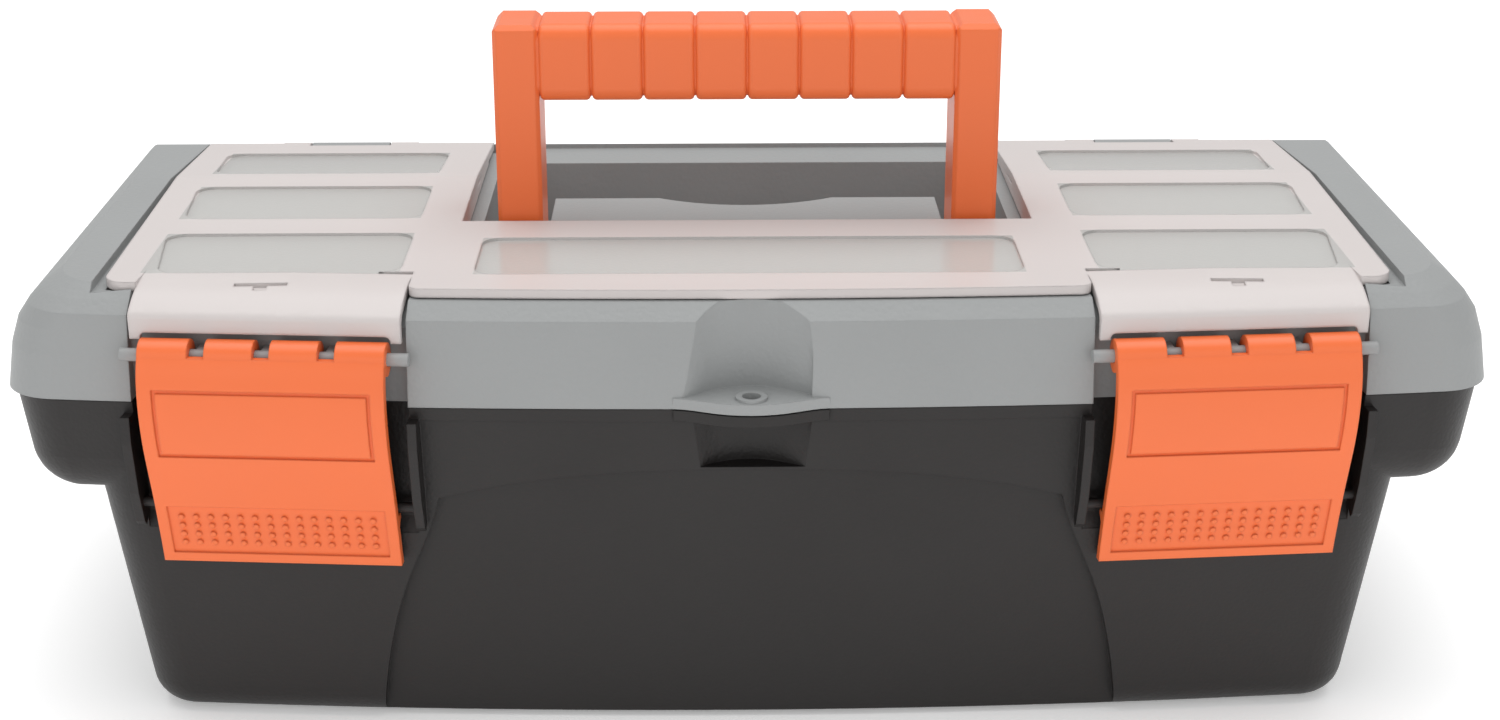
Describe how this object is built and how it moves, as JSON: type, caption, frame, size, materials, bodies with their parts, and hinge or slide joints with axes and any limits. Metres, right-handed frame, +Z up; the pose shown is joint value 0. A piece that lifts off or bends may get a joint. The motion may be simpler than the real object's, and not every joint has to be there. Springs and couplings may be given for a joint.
{
  "type": "toolbox with tray",
  "caption": "Small plastic hand toolbox: hinged lid with a see-through organiser, snap latches, folding bail handle and a lift-out tray.",
  "frame": {"origin": "centre of the tub's flat bottom, on the surface it stands on", "axes": "+X to the right along the length, +Y to the back, +Z up"},
  "size_m": [0.32, 0.1695, 0.1479],
  "materials": {
    "black_plastic": "fine textured black moulding",
    "grey_plastic": "fine pebble grain",
    "frosted_plastic": "frosted translucent with clear windows",
    "orange_plastic": "satin",
    "tray_plastic": "satin black",
    "divider_plastic": "satin grey",
    "steel": "plain wire"
  },
  "bodies": {
    "base": {"tub": "black_plastic", "lid_hinge_pin_left": "steel", "lid_hinge_pin_right": "steel"},
    "lid": {"lid": "grey_plastic", "cover_hinge_pin_left": "steel", "cover_hinge_pin_right": "steel", "handle_pin_left": "grey_plastic", "handle_pin_right": "grey_plastic", "bin_divider_left_front": "divider_plastic", "bin_divider_left_rear": "divider_plastic", "bin_divider_right_front": "divider_plastic", "bin_divider_right_rear": "divider_plastic"},
    "cover": {"organiser_cover": "frosted_plastic"},
    "latch_left": {"latch_left": "orange_plastic"},
    "latch_right": {"latch_right": "orange_plastic"},
    "handle": {"handle": "orange_plastic"},
    "tray": {"tray": "tray_plastic", "tray_divider_left": "divider_plastic", "tray_divider_right": "divider_plastic"}
  },
  "joints": [
    {"name": "lid_hinge", "type": "hinge", "parent": "base", "child": "lid", "pos_m": [0, 0.0816, 0.0806], "axis": [-1, 0, 0], "range_deg": [0, 105]},
    {"name": "latch_left_hinge", "type": "hinge", "parent": "lid", "child": "latch_left", "pos_m": [-0.1016, -0.077, 0.09025], "axis": [-0.9973, 0.0732, 0], "range_deg": [0, 105]},
    {"name": "latch_right_hinge", "type": "hinge", "parent": "lid", "child": "latch_right", "pos_m": [0.1016, -0.077, 0.09025], "axis": [-0.9973, -0.0732, 0], "range_deg": [0, 105]},
    {"name": "cover_hinge", "type": "hinge", "parent": "lid", "child": "cover", "pos_m": [0, 0.06, 0.0973], "axis": [-1, 0, 0], "range_deg": [0, 100]},
    {"name": "handle_fold", "type": "hinge", "parent": "lid", "child": "handle", "pos_m": [0, -0.0122, 0.0894], "axis": [-1, 0, 0], "range_deg": [0, 90]},
    {"name": "tray_lift", "type": "slide", "parent": "base", "child": "tray", "axis": [0, 0, 1], "range_m": [0, 0.037]}
  ],
  "couplings": [
    {"joint": "handle_fold", "follows": "cover_hinge", "ratio": 0.9},
    {"joint": "tray_lift", "follows": "lid_hinge", "m_per_rad": 0.02}
  ]
}
